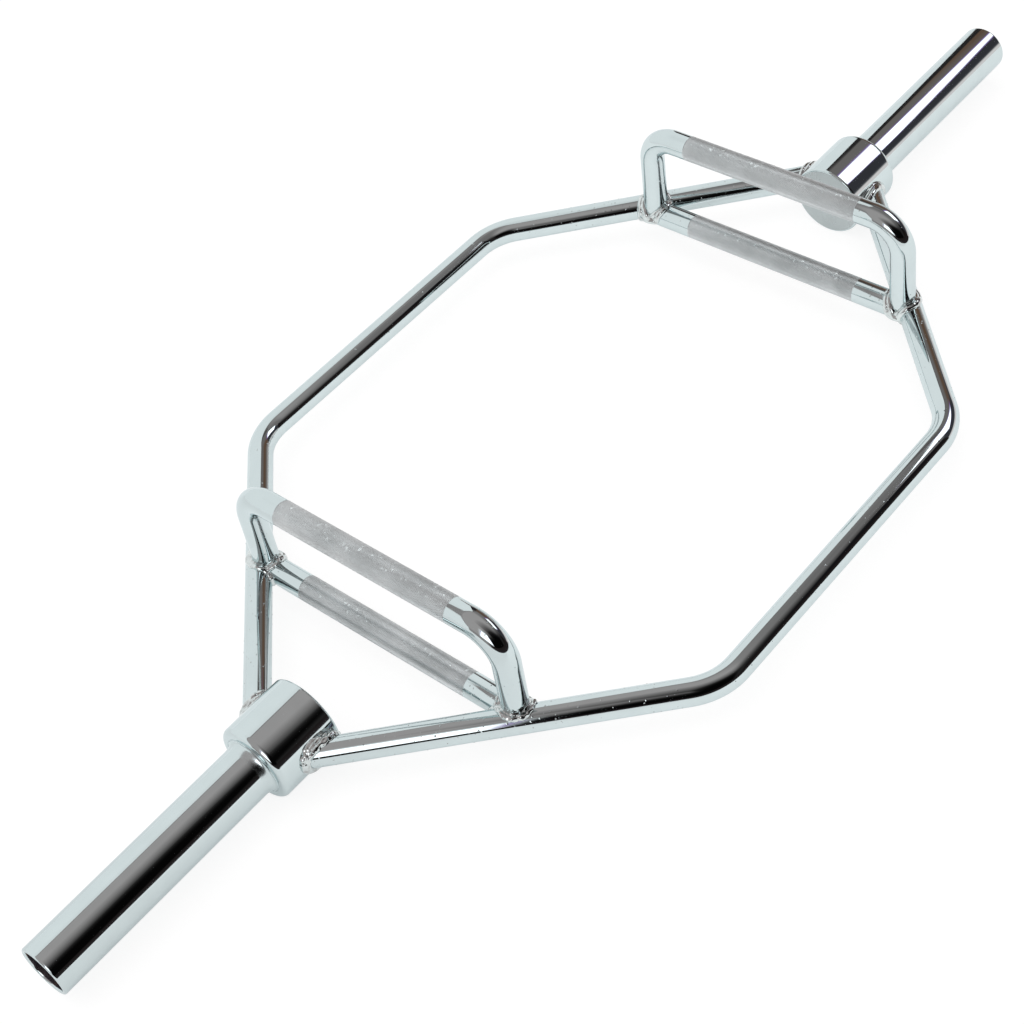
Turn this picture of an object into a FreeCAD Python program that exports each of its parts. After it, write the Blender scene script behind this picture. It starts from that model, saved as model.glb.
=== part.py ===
import FreeCAD, Part
import math
import os
import Sketcher

# Hex trap bar: a welded, chrome plated frame of bent round bar with a loading sleeve at each end.
# X runs along the sleeves, Y from front to rear, Z up. The collars' undersides lie at Z = 0.
# Pieces are modelled on the right and the rear, and mirrored to the left and the front.

# Driving dimensions, millimetres and degrees
SIZES = {
    # Round bar that the frame and the handles are bent from
    "bar_diameter": 25,
    # Six-sided frame, measured on the bar's centre line
    "frame_width": 556,
    "side_length": 354,
    "frame_bend_angle": 45,
    "frame_bend_radius": 60,
    # Turned collars; the setback runs from the inner face to where a bar's centre line enters the wall
    "collar_diameter": 76,
    "collar_length": 68,
    "collar_edge_round": 4,
    "collar_setback": 26,
    # Loading sleeves, open tubes whose turned-down spigots seat in the collars
    "sleeve_diameter": 50,
    "sleeve_wall": 4,
    "sleeve_length": 236,
    "sleeve_rim_round": 1,
    "spigot_length": 45,
    "spigot_step": 1,
    "spigot_clearance": 0.1,
    # Handles: the low pair lies in the frame, the raised pair stands over it on two legs each;
    # the inset runs from the low handle's end to a leg, and the margin from a bend to the knurl
    "handle_spacing": 582,
    "raised_height": 102,
    "raised_bend_radius": 32,
    "foot_inset": 13,
    "leg_lean": 3,
    "knurl_margin": 15.3,
    "knurl_depth": 0.3,
    # Welds, and the gaps that they fill between fitted ends
    "weld_size": 4.5,
    "sleeve_weld_reach": 7,
    "sleeve_weld_height": 4,
    "bar_root_gap": 0.5,
    "leg_root_gap": 0.4,
    # How far cutting tools run past what they cut
    "cut_overrun": 1,
}
# Share of the collar's radius at which a frame bar's uncut end lies
BAR_END_SHARE = 0.5
# Bead height round each bar of a handle's joint, as shares of the weld size
LOW_BEAD_SHARE = 0.9
LEG_BEAD_SHARE = 1.1
# Place of the hollow in the sleeve weld's face, as a share of its reach and height
WELD_HOLLOW_SHARE = 0.3

# Places worked out from the driving dimensions
BAR_RADIUS = "Sizes.bar_diameter / 2"
COLLAR_RADIUS = "Sizes.collar_diameter / 2"
SLEEVE_RADIUS = "Sizes.sleeve_diameter / 2"
AXIS_HEIGHT = COLLAR_RADIUS
HALF_SIDE = "Sizes.side_length / 2"
HALF_WIDTH = "Sizes.frame_width / 2"
HANDLE_X = "Sizes.handle_spacing / 2"
BEND_TAN = "tan(Sizes.frame_bend_angle)"
BAR_END_Y = f"{COLLAR_RADIUS} * {BAR_END_SHARE}"
BAR_END_X = f"({HALF_SIDE} + ({HALF_WIDTH} - {BAR_END_Y}) / {BEND_TAN})"
RUN_LENGTH = f"({HALF_WIDTH} - {BAR_END_Y}) / sin(Sizes.frame_bend_angle)"
BAR_ENTRY_X = f"({HALF_SIDE} + ({HALF_WIDTH} - {COLLAR_RADIUS}) / {BEND_TAN})"
COLLAR_INNER_X = f"({BAR_ENTRY_X} - Sizes.collar_setback)"
COLLAR_OUTER_X = f"({COLLAR_INNER_X} + Sizes.collar_length)"
SPIGOT_X = f"({COLLAR_OUTER_X} - Sizes.spigot_length)"
SPIGOT_RADIUS = f"({SLEEVE_RADIUS} - Sizes.spigot_step)"
SHOULDER_X = f"({COLLAR_OUTER_X} + Sizes.sleeve_weld_reach)"
SLEEVE_END_X = f"({COLLAR_OUTER_X} + Sizes.sleeve_length)"
JOINT_Y = f"({HALF_WIDTH} - ({HANDLE_X} - {HALF_SIDE}) * {BEND_TAN})"
FOOT_Y = f"({JOINT_Y} - Sizes.foot_inset)"
RAISED_CORNER_Y = f"({FOOT_Y} - Sizes.raised_height * tan(Sizes.leg_lean))"
RAISED_BEND_Y = f"({RAISED_CORNER_Y} - Sizes.raised_bend_radius * tan(45 - Sizes.leg_lean / 2))"
KNURL_END_Y = f"({RAISED_BEND_Y} - Sizes.knurl_margin)"
LEG_LENGTH = "Sizes.raised_height / cos(Sizes.leg_lean)"

# Directions, and the sketcher's numbers for its axes and for a curve's start, end and centre
ACROSS_X = FreeCAD.Vector(1, 0, 0)
ACROSS_Y = FreeCAD.Vector(0, 1, 0)
UPWARDS = FreeCAD.Vector(0, 0, 1)
X_AXIS, Y_AXIS = range(-1, -3, -1)
START, END, CENTRE = range(1, 4)
ORIGIN = (X_AXIS, START)

doc = FreeCAD.newDocument("hex_trap_bar")
sheet = doc.addObject("Spreadsheet::Sheet", "Sizes")
for row, (alias, number) in enumerate(SIZES.items(), start=1):
    sheet.set(f"A{row}", alias)
    sheet.set(f"B{row}", str(number))
    sheet.setAlias(f"B{row}", alias)
doc.recompute()


def rod(name, radius, length, base, turn):
    """A cylinder from a base point in the frame's mid-plane, turned by yaw, pitch and roll."""
    cylinder = doc.addObject("Part::Cylinder", name)
    cylinder.setExpression("Radius", radius)
    cylinder.setExpression("Height", length)
    place = f"placement(vector({base}; {AXIS_HEIGHT}); rotation({turn}))"
    cylinder.setExpression("Placement", place)
    return cylinder


def rod_ends(cylinder):
    """The two ends of a rod's centre line, measured from the frame's mid-plane."""
    place = cylinder.Placement
    base = FreeCAD.Vector(place.Base.x, place.Base.y, 0)
    return base, base + place.Rotation.multVec(UPWARDS) * cylinder.Height.Value


def collar_rod(name, radius, side):
    """A rod on the sleeve's axis, over the straight part of a collar's wall."""
    base = f"{side} * ({COLLAR_INNER_X} + Sizes.collar_edge_round); 0"
    length = "Sizes.collar_length - 2 * Sizes.collar_edge_round"
    return rod(name, radius, length, base, f"0; {90 * side}; 0")


def run_rod(name, radius, end):
    """A rod on the slanting run of a frame bar, from its bend towards the collar."""
    base = f"{HALF_SIDE}; {end} * {HALF_WIDTH}"
    return rod(name, radius, RUN_LENGTH, base, f"{-end} * Sizes.frame_bend_angle; 90; 0")


def low_rod(name, radius, past, end):
    """A rod on the low handle's axis, from its middle to a frame bar's centre line and past it."""
    return rod(name, radius, f"{JOINT_Y} + {past}", f"{HANDLE_X}; 0", f"0; 0; {-90 * end}")


def leg_rod(name, radius):
    """A rod on the raised handle's rear leg, from the frame's mid-plane to its bend."""
    return rod(name, radius, LEG_LENGTH, f"{HANDLE_X}; {FOOT_Y}", "0; 0; Sizes.leg_lean")


def cut(name, base, tools):
    """What is left of a base when each tool in turn is taken from it."""
    for index, tool in enumerate(tools, start=1):
        left = doc.addObject("Part::Cut", f"{name}_cut_{index}")
        left.Base = base
        left.Tool = tool
        base = left
    base.Label = name
    return base


def common(name, first, second):
    """What two solids share."""
    shared = doc.addObject("Part::Common", name)
    shared.Base = first
    shared.Tool = second
    return shared


def fuse(name, first, second):
    """Two solids as one."""
    union = doc.addObject("Part::Fuse", name)
    union.Base = first
    union.Tool = second
    return union


def mirror(source, normal, label):
    """The mirror image of a sub-part in a plane through the origin."""
    image = doc.addObject("Part::Mirroring", label)
    image.Source = source
    image.Normal = normal
    image.Label = label
    return image


def new_body(name):
    """An empty body whose origin lies in the frame's mid-plane."""
    body = doc.addObject("PartDesign::Body", name)
    body.setExpression("Placement.Base.z", AXIS_HEIGHT)
    return body


def new_sketch(body, name, role):
    """An empty sketch on one of the body's own origin planes."""
    sketch = body.newObject("Sketcher::SketchObject", name)
    plane = next(item for item in body.Origin.OriginFeatures if item.Role == role)
    sketch.AttachmentSupport = [(plane, "")]
    sketch.MapMode = "FlatFace"
    return sketch


def link(sketch, kind, *geometry):
    """A constraint with no size."""
    sketch.addConstraint(Sketcher.Constraint(kind, *geometry))


def dimension(sketch, kind, first, second, text):
    """A distance between two points, each a curve and its end, that follows a size."""
    step = sketch.getPoint(*second) - sketch.getPoint(*first)
    span = step.x if kind == "DistanceX" else step.y
    index = sketch.addConstraint(Sketcher.Constraint(kind, *first, *second, span))
    sketch.setExpression(f"Constraints[{index}]", text)


def radius_dimension(sketch, curve, radius, text):
    """A radius that follows a size."""
    index = sketch.addConstraint(Sketcher.Constraint("Radius", curve, radius))
    sketch.setExpression(f"Constraints[{index}]", text)


def outline(sketch, stations):
    """A closed outline through stations, each two expressions, or None on an axis of the sketch."""
    count = len(stations)
    turns = [math.tau * index / count for index in range(count)]
    rough = [FreeCAD.Vector(math.cos(turn), math.sin(turn), 0) for turn in turns]
    for index in range(count):
        sketch.addGeometry(Part.LineSegment(rough[index], rough[(index + 1) % count]), False)
    for index in range(count):
        link(sketch, "Coincident", index, END, (index + 1) % count, START)
    for index, (along, across) in enumerate(stations):
        for kind, axis, text in (("DistanceX", Y_AXIS, along), ("DistanceY", X_AXIS, across)):
            if text is None:
                link(sketch, "PointOnObject", index, START, axis)
            else:
                dimension(sketch, kind, ORIGIN, (index, START), text)


def turned(body, stations, axis):
    """Revolves an outline about an axis of its sketch."""
    sketch = new_sketch(body, f"{body.Name}_outline", "XY_Plane")
    outline(sketch, stations)
    solid = body.newObject("PartDesign::Revolution", f"{body.Name}_turned")
    solid.Profile = sketch
    solid.ReferenceAxis = (sketch, [axis])
    doc.recompute()
    return solid


def round_edges(body, base, radius, wanted):
    """Rounds the edges of a feature that the test picks."""
    names = [f"Edge{index}" for index, edge in enumerate(base.Shape.Edges, start=1) if wanted(edge)]
    rounding = body.newObject("PartDesign::Fillet", f"{body.Name}_rounding")
    rounding.Base = (base, names)
    rounding.setExpression("Radius", radius)
    doc.recompute()


def make_collar():
    """Collar: a round block, rounded at both edges, with a blind seat for the sleeve's spigot."""
    body = new_body("right_collar")
    seat_x = f"{SPIGOT_X} - Sizes.spigot_clearance"
    seat_radius = f"{SPIGOT_RADIUS} + Sizes.spigot_clearance"
    stations = [
        (COLLAR_INNER_X, None),
        (seat_x, None),
        (seat_x, seat_radius),
        (COLLAR_OUTER_X, seat_radius),
        (COLLAR_OUTER_X, COLLAR_RADIUS),
        (COLLAR_INNER_X, COLLAR_RADIUS),
    ]
    block = turned(body, stations, "H_Axis")
    radius = sheet.get("collar_diameter") / 2

    def on_wall(edge):
        return isinstance(edge.Curve, Part.Circle) and math.isclose(edge.Curve.Radius, radius)

    round_edges(body, block, "Sizes.collar_edge_round", on_wall)
    return body


def make_sleeve():
    """Loading sleeve: an open tube, rounded at its free rim, whose shoulder stands off for the weld."""
    body = new_body("right_sleeve")
    bore = f"({SLEEVE_RADIUS} - Sizes.sleeve_wall)"
    stations = [
        (SPIGOT_X, bore),
        (SLEEVE_END_X, bore),
        (SLEEVE_END_X, SLEEVE_RADIUS),
        (SHOULDER_X, SLEEVE_RADIUS),
        (SHOULDER_X, SPIGOT_RADIUS),
        (SPIGOT_X, SPIGOT_RADIUS),
    ]
    tube = turned(body, stations, "H_Axis")
    rim = max(vertex.Point.x for vertex in tube.Shape.Vertexes)

    def on_rim(edge):
        return all(math.isclose(vertex.Point.x, rim) for vertex in edge.Vertexes)

    round_edges(body, tube, "Sizes.sleeve_rim_round", on_rim)
    return body


def make_sleeve_weld():
    """Ground fillet weld that fills the groove between the sleeve's shoulder and the collar."""
    body = new_body("right_sleeve_weld")
    hollow_x = f"{COLLAR_OUTER_X} + Sizes.sleeve_weld_reach * {WELD_HOLLOW_SHARE}"
    hollow_y = f"{SLEEVE_RADIUS} + Sizes.sleeve_weld_height * {WELD_HOLLOW_SHARE}"
    stations = [
        (COLLAR_OUTER_X, SPIGOT_RADIUS),
        (SHOULDER_X, SPIGOT_RADIUS),
        (SHOULDER_X, SLEEVE_RADIUS),
        (hollow_x, hollow_y),
        (COLLAR_OUTER_X, f"{SLEEVE_RADIUS} + Sizes.sleeve_weld_height"),
    ]
    turned(body, stations, "H_Axis")
    return body


def bend_path(path, foot, corner, bend_radius):
    """A straight middle with an equal bend and a straight leg at both ends, as a path in a sketch.

    The foot and corner of one leg are given as numbers, which start the sketch off.
    """
    radius = sheet.get(bend_radius)
    to_foot = (foot - corner).normalize()
    to_middle = -ACROSS_X
    half_angle = to_foot.getAngle(to_middle) / 2
    centre = corner + (to_foot + to_middle).normalize() * (radius / math.sin(half_angle))
    leg_end = corner + to_foot * (radius / math.tan(half_angle))
    middle_end = corner + to_middle * (radius / math.tan(half_angle))

    def image(point):
        return FreeCAD.Vector(-point.x, point.y, point.z)

    def arc(middle, first, last):
        circle = Part.Circle(middle, UPWARDS, radius)
        return Part.ArcOfCircle(circle, circle.parameter(first), circle.parameter(last))

    curves = [
        Part.LineSegment(foot, leg_end),
        arc(centre, leg_end, middle_end),
        Part.LineSegment(middle_end, image(middle_end)),
        arc(image(centre), image(middle_end), image(leg_end)),
        Part.LineSegment(image(leg_end), image(foot)),
    ]
    chain = path.addGeometry(curves, False)
    corners = path.addGeometry([Part.Point(corner), Part.Point(image(corner))], True)
    leg, bend, middle, far_bend, far_leg = chain
    near, far = corners
    for before, after in zip(chain, chain[1:]):
        link(path, "Tangent", before, END, after, START)
    for point, line in ((near, leg), (near, middle), (far, middle), (far, far_leg)):
        link(path, "PointOnObject", point, START, line)
    link(path, "Symmetric", near, START, far, START, Y_AXIS)
    link(path, "Symmetric", leg, START, far_leg, END, Y_AXIS)
    link(path, "Equal", bend, far_bend)
    radius_dimension(path, bend, radius, f"Sizes.{bend_radius}")
    corner_pair = ((far, START), (near, START))
    foot_pair = ((far_leg, END), (leg, START))
    return corner_pair, foot_pair


def sweep_bar(body, path, section_role, kind, axis, height):
    """Sweeps the bar's round section along a path from the middle of its straight stretch."""
    section = new_sketch(body, f"{body.Name}_section", section_role)
    radius = sheet.get("bar_diameter") / 2
    section.addGeometry(Part.Circle(ACROSS_X + ACROSS_Y, UPWARDS, radius), False)
    link(section, "PointOnObject", 0, CENTRE, axis)
    dimension(section, kind, ORIGIN, (0, CENTRE), height)
    radius_dimension(section, 0, radius, BAR_RADIUS)
    doc.recompute()
    sweep = body.newObject("PartDesign::AdditivePipe", f"{body.Name}_sweep")
    sweep.Profile = section
    sweep.Spine = (path, [f"Edge{index}" for index, _ in enumerate(path.Shape.Edges, start=1)])
    doc.recompute()


def make_frame_bar(guide, copes):
    """Frame bar: two bends join its long side to the slanting runs, which are coped to the collars."""
    body = new_body("rear_frame_bar_stock")
    path = new_sketch(body, "rear_frame_bar_path", "XY_Plane")
    corner, foot = rod_ends(guide)
    corner_pair, foot_pair = bend_path(path, foot, corner, "frame_bend_radius")
    dimension(path, "DistanceX", *corner_pair, "Sizes.side_length")
    dimension(path, "DistanceY", ORIGIN, corner_pair[1], HALF_WIDTH)
    dimension(path, "DistanceX", *foot_pair, f"2 * {BAR_END_X}")
    dimension(path, "DistanceY", ORIGIN, foot_pair[1], BAR_END_Y)
    sweep_bar(body, path, "YZ_Plane", "DistanceX", X_AXIS, HALF_WIDTH)
    return cut("rear_frame_bar", body, copes)


def make_low_handle(copes):
    """Low handle: a straight bar coped to both frame bars, with a knurled band in the middle."""
    body = new_body("right_low_handle_stock")
    body.setExpression("Placement.Base.x", HANDLE_X)
    root = f"{BAR_RADIUS} - Sizes.knurl_depth"
    rear_half = [(root, KNURL_END_Y), (BAR_RADIUS, KNURL_END_Y), (BAR_RADIUS, JOINT_Y), (None, JOINT_Y)]
    front_half = [(across, f"-{along}") for across, along in reversed(rear_half)]
    turned(body, front_half + rear_half, "V_Axis")
    return cut("right_low_handle", body, copes)


def make_raised_handle(guide, copes):
    """Raised handle: a bar bent into two legs, saddled on the joints below, knurled along its top."""
    body = new_body("right_raised_handle_stock")
    body.setExpression("Placement.Base.x", HANDLE_X)
    path = new_sketch(body, "right_raised_handle_path", "YZ_Plane")
    foot, corner = (FreeCAD.Vector(point.y, point.z, 0) for point in rod_ends(guide))
    corner_pair, foot_pair = bend_path(path, foot, corner, "raised_bend_radius")
    dimension(path, "DistanceX", *corner_pair, f"2 * {RAISED_CORNER_Y}")
    dimension(path, "DistanceY", ORIGIN, corner_pair[1], "Sizes.raised_height")
    dimension(path, "DistanceX", *foot_pair, f"2 * {FOOT_Y}")
    link(path, "PointOnObject", *foot_pair[1], X_AXIS)
    sweep_bar(body, path, "XZ_Plane", "DistanceY", Y_AXIS, "Sizes.raised_height")
    cut_knurl_band(body)
    return cut("right_raised_handle", body, copes)


def cut_knurl_band(body):
    """Turns the knurled band into the raised handle's top, about the bar's own centre line."""
    sketch = new_sketch(body, f"{body.Name}_band", "YZ_Plane")
    surface = f"Sizes.raised_height + {BAR_RADIUS}"
    floor = f"{surface} - Sizes.knurl_depth"
    clear = f"{surface} + Sizes.cut_overrun"
    rear_half = [(KNURL_END_Y, floor), (KNURL_END_Y, clear)]
    front_half = [(f"-{along}", across) for along, across in reversed(rear_half)]
    outline(sketch, rear_half + front_half)
    centre_line = sketch.addGeometry(Part.LineSegment(-ACROSS_X, ACROSS_X), True)
    link(sketch, "Symmetric", centre_line, START, centre_line, END, Y_AXIS)
    dimension(sketch, "DistanceX", (centre_line, START), (centre_line, END), f"2 * {KNURL_END_Y}")
    dimension(sketch, "DistanceY", ORIGIN, (centre_line, END), "Sizes.raised_height")
    groove = body.newObject("PartDesign::Groove", f"{body.Name}_groove")
    groove.Profile = sketch
    groove.ReferenceAxis = (sketch, ["Axis0"])
    doc.recompute()


def make_corner_welds(run, leg_bead, low_handle, raised_handle):
    """Weld beads at one corner, which fill the root gaps and stand round the fitted ends."""
    run_bead = run_rod("run_bead", f"{BAR_RADIUS} + Sizes.weld_size", 1)
    low_radius = f"{BAR_RADIUS} + Sizes.weld_size * {LOW_BEAD_SHARE}"
    low_bead = low_rod("low_bead", low_radius, "Sizes.weld_size", 1)
    collar_bead = collar_rod("collar_bead", f"{COLLAR_RADIUS} + Sizes.weld_size", 1)
    collar_wall = collar_rod("collar_wall", COLLAR_RADIUS, 1)
    collar_ring = common("collar_ring", run_bead, collar_bead)
    collar_weld = cut("right_rear_collar_weld", collar_ring, [run, collar_wall])
    leg_ring = common("leg_ring", leg_bead, fuse("joint_bead", run_bead, low_bead))
    leg_weld = cut("right_rear_raised_handle_weld", leg_ring, [run, low_handle, raised_handle])
    low_ring = common("low_ring", low_bead, run_bead)
    low_weld = cut("right_rear_low_handle_weld", low_ring, [run, low_handle, leg_bead])
    return [collar_weld, leg_weld, low_weld]


# Rods on the straight stretches, which guide the bent bars and cope the ends that meet them
SIDES = {"left": -1, "right": 1}
ENDS = {"front": -1, "rear": 1}
bar_cope = f"{BAR_RADIUS} + Sizes.bar_root_gap"
collar_cope = f"{COLLAR_RADIUS} + Sizes.bar_root_gap"
leg_cope = f"{BAR_RADIUS} + Sizes.leg_root_gap"
collar_copes = [collar_rod(f"{name}_collar_cope", collar_cope, side) for name, side in SIDES.items()]
run_copes = [run_rod(f"{name}_run_cope", bar_cope, end) for name, end in ENDS.items()]
low_copes = [low_rod(f"{name}_low_cope", leg_cope, "0", end) for name, end in ENDS.items()]
rear_run = run_rod("rear_run", BAR_RADIUS, 1)
rear_leg_bead = leg_rod("rear_leg_bead", f"{BAR_RADIUS} + Sizes.weld_size * {LEG_BEAD_SHARE}")
doc.recompute()

# Pieces of the right-hand side, and the rear frame bar
rear_frame_bar = make_frame_bar(rear_run, collar_copes)
low_handle = make_low_handle(run_copes)
raised_handle = make_raised_handle(rear_leg_bead, run_copes + low_copes)
rear_welds = make_corner_welds(rear_run, rear_leg_bead, low_handle, raised_handle)
right_pieces = [make_collar(), make_sleeve(), make_sleeve_weld(), low_handle, raised_handle] + rear_welds

# Their mirror images
right_pieces += [mirror(weld, ACROSS_Y, weld.Label.replace("rear", "front")) for weld in rear_welds]
left_pieces = [mirror(piece, ACROSS_X, piece.Label.replace("right", "left")) for piece in right_pieces]
frame_bars = [rear_frame_bar, mirror(rear_frame_bar, ACROSS_Y, "front_frame_bar")]
sub_parts = frame_bars + right_pieces + left_pieces
doc.recompute()

# Every object is sound before any file is written
for item in doc.Objects:
    if "Invalid" in item.State or "Error" in item.State:
        raise RuntimeError(f"{item.Label} did not compute")
for part in sub_parts:
    if part.Shape.isNull() or not part.Shape.isValid():
        raise RuntimeError(f"{part.Label} has no sound shape")
os.makedirs("parts", exist_ok=True)
for part in sub_parts:
    part.Shape.exportStep(f"parts/{part.Label}.step")
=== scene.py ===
import math

import bmesh
import bpy
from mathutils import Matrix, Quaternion, Vector


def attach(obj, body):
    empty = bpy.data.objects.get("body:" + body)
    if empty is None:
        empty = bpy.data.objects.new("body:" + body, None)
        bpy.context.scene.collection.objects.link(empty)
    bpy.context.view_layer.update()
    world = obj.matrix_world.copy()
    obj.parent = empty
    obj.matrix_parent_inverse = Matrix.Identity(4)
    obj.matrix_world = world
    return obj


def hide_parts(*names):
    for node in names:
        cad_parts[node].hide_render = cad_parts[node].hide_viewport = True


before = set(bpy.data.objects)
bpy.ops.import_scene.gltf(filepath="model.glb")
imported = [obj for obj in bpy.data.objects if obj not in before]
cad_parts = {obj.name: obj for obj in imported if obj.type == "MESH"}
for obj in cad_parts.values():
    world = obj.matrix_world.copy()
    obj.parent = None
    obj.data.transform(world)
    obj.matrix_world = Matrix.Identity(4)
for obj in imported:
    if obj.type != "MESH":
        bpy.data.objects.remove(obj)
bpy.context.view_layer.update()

# Sizes in metres. The bar lies along X, its left sleeve towards the camera, and stands on its collars.
AXIS_HEIGHT = 0.038
BAR_RADIUS = 0.0125
FRAME_HALF_WIDTH = 0.278
CORNER_X = 0.177
RUN_REACH = 0.455
FRAME_BEND = 0.060
COLLAR_RADIUS = 0.038
COLLAR_INNER = 0.391
COLLAR_OUTER = 0.459
COLLAR_ROUND = 0.0055
COLLAR_INNER_ROUND = 0.0025
SEAT_RADIUS = 0.0241
SEAT_BOTTOM = 0.414
SPIGOT_RADIUS = 0.024
SLEEVE_RADIUS = 0.025
SLEEVE_BORE = 0.021
SLEEVE_SHOULDER = 0.466
SLEEVE_END = 0.695
RIM_ROUND = 0.0019
FILLET_TOP = 0.0288
FILLET_REACH = 0.0090
LIP_TOP = 0.0010
LIP_SHOULDER = 0.0008
LIP_FOOT = 0.0003
LIP_REACH = 0.0006
LIP_FOOT_REACH = 0.0002
LIP_ROUND = 0.0002
HOLLOW_START = 0.0004
HANDLE_X = 0.291
JOINT_Y = RUN_REACH - HANDLE_X
RAISED_HEIGHT = 0.140
RAISED_BEND = 0.032
BAND_HALF = 0.09998
BAND_ROOT = 0.0122
BAND_STEP_INSIDE = 0.00015
BAND_STEP_OUTSIDE = 0.0002
KNURL_SINK = 0.00005
LOW_END_INSET = 0.004
TOLERANCE = 0.0001

# Points along the fillet's hollow, and what is left of the most worn point of the knurl.
HOLLOW_STEPS = 18
MOST_WORN = 0.82

SIDES = {"left": -1, "right": 1}
ENDS = {"front": -1, "rear": 1}

# Along Y, where each raised handle bends and stands, and the middle of each knurled band.
RAISED_CORNER = {"left_front": 0.1560, "left_rear": 0.1457, "right_front": 0.1560, "right_rear": 0.1402}
RAISED_FOOT = {"left_front": 0.1515, "left_rear": 0.1510, "right_front": 0.1545, "right_rear": 0.1462}
BAND_MIDDLE = {"left_low": -0.001, "left_raised": -0.004, "right_low": -0.0035, "right_raised": -0.0090}

# Weld beads. Those on the right were laid smoother than those on the left,
# with fuller ones round the raised handle's feet.
COLLAR_BEAD = 0.0042
LOW_BEAD = 0.0040
RAISED_BEAD = 0.0032
COLLAR_FULLNESS = {"left_front": 1.0, "left_rear": 0.72, "right_front": 0.80, "right_rear": 0.76}
LOW_FULLNESS = {"left_front": 1.0, "left_rear": 1.0, "right_front": 0.85, "right_rear": 0.80}
RAISED_FULLNESS = {"left_front": 1.0, "left_rear": 1.0, "right_front": 1.20, "right_rear": 1.20}
BEAD_ROUGHNESS = {"left_front": 1.0, "left_rear": 0.85, "right_front": 0.22, "right_rear": 0.22}
SWELL = 1.1
DROP_HEIGHT = 0.0030
LUMP_HEIGHT = 0.0026
# A bead is smoothest below the first height and fully crumpled above the second.
BEAD_SMOOTH_HEIGHT = AXIS_HEIGHT - 0.004
BEAD_ROUGH_HEIGHT = AXIS_HEIGHT + 0.009
LEAST_CRUMPLING = 0.25
# Degrees round the bar, from its outer side over the top, at which the collar welds are thickest.
COLLAR_CROWN = {"front": 106.0, "rear": 78.0}
COLLAR_CROWN_POWER = 1.5
# Each pass: how far it climbs or spreads from the joint, and its thinnest and thickest share of the radius.
COLLAR_PASSES = ((0.0, 0.22, 0.95), (0.0045, 0.05, 1.0), (0.0092, 0.05, 0.82))
RAISED_PASSES = ((0.0, 0.40, 1.0), (0.0029, 0.05, 0.85))
LEAST_CLIMB = 0.2
LOW_TOP_CUT = 0.4
# How far over its axis a bar begins to carry a pass, and the further rise until it carries all of it.
CARRY_START = 0.002
CARRY_RISE = 0.005
CARRY_LEAST = 0.05
BEAD_POINTS = 72

# Pits and spatter: where along Y they centre at the collars, and the distances from a weld
# within which they are thickest and at which they end.
COLLAR_PIT_Y = 0.035
PIT_FULL_REACH = 0.012
COLLAR_PIT_REACH = 0.07
HANDLE_PIT_REACH = 0.085
COLLAR_SPATTER_Y = 0.045
SPATTER_FULL_REACH = 0.015
SPATTER_REACH = 0.100


# Node helpers, for the finishes and for the repeated shapes.
def feed(tree, socket, value):
    if isinstance(value, bpy.types.NodeSocket):
        tree.links.new(value, socket)
    else:
        socket.default_value = value


def add_node(tree, kind, feeds=None, **settings):
    """Adds a node and feeds its inputs with values or with other nodes' outputs."""
    node = tree.nodes.new(kind)
    for name, value in settings.items():
        setattr(node, name, value)
    for socket, value in (feeds or {}).items():
        feed(tree, node.inputs[socket], value)
    return node


def reckon(tree, operation, *values):
    return add_node(tree, "ShaderNodeMath", dict(enumerate(values)), operation=operation).outputs[0]


def ramped(tree, value, low, high, out_low=0.0, out_high=1.0):
    feeds = dict(enumerate((value, low, high, out_low, out_high)))
    return add_node(tree, "ShaderNodeMapRange", feeds, interpolation_type="SMOOTHSTEP").outputs[0]


def blended(tree, share, first, second):
    return add_node(tree, "ShaderNodeMix", {0: share, 6: first, 7: second}, data_type="RGBA").outputs[2]


def split_place(tree, place):
    return add_node(tree, "ShaderNodeSeparateXYZ", {0: place}).outputs


def gap_between(tree, first, second):
    feeds = {0: first, 1: second}
    return add_node(tree, "ShaderNodeVectorMath", feeds, operation="DISTANCE").outputs["Value"]


def toned(tree, value, stops):
    node = add_node(tree, "ShaderNodeValToRGB")
    bands = node.color_ramp.elements
    while len(bands) < len(stops):
        bands.new(1.0)
    for band, (place, colour) in zip(bands, stops):
        band.position = place
        band.color = (*colour, 1.0)
    feed(tree, node.inputs[0], value)
    return node.outputs[0]


def clouded(tree, place, scale, detail=3.0):
    feeds = {"Vector": place, "Scale": scale, "Detail": detail}
    return add_node(tree, "ShaderNodeTexNoise", feeds).outputs[0]


# Finishes, all of them metal.
CHROME_DEEP = (0.585, 0.665, 0.675)
CHROME_PALE = (0.645, 0.73, 0.74)
CHROME_EDGE = (0.88, 0.91, 0.92, 1.0)
# Colours of the collars' inner faces: duller chrome, painted darker as painted shade.
FACED_SHADED_DEEP = (0.44, 0.485, 0.49)
FACED_SHADED_PALE = (0.49, 0.54, 0.545)
PALE_FLECKS = (0.86, 0.93, 0.94, 1.0)
KNURL_TONES = ((0.32, (0.515, 0.548, 0.556)), (0.50, (0.602, 0.636, 0.645)), (0.68, (0.685, 0.718, 0.727)))
WELD_TONES = ((0.25, (0.45, 0.46, 0.455)), (0.45, (0.62, 0.67, 0.67)), (0.75, (0.70, 0.76, 0.76)))
BORE_TONES = ((0.35, (0.17, 0.165, 0.21)), (0.52, (0.20, 0.16, 0.16)), (0.66, (0.40, 0.17, 0.06)))
# Shares of waves and turning marks in the relief, and of the cells that hold a pit.
WAVE_SHARE = 0.35
STREAK_SHARE = 0.10
STREAK_STRETCH = (0.03, 1.0, 1.0)
PITS_EVERYWHERE = 0.08
PITS_AT_WELDS = 0.55
# Heights over a handle's axis above which flecks on the knurl's points turn paler and glossier.
CROWN_START = 0.0090
CROWN_FULL = 0.0117


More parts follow.
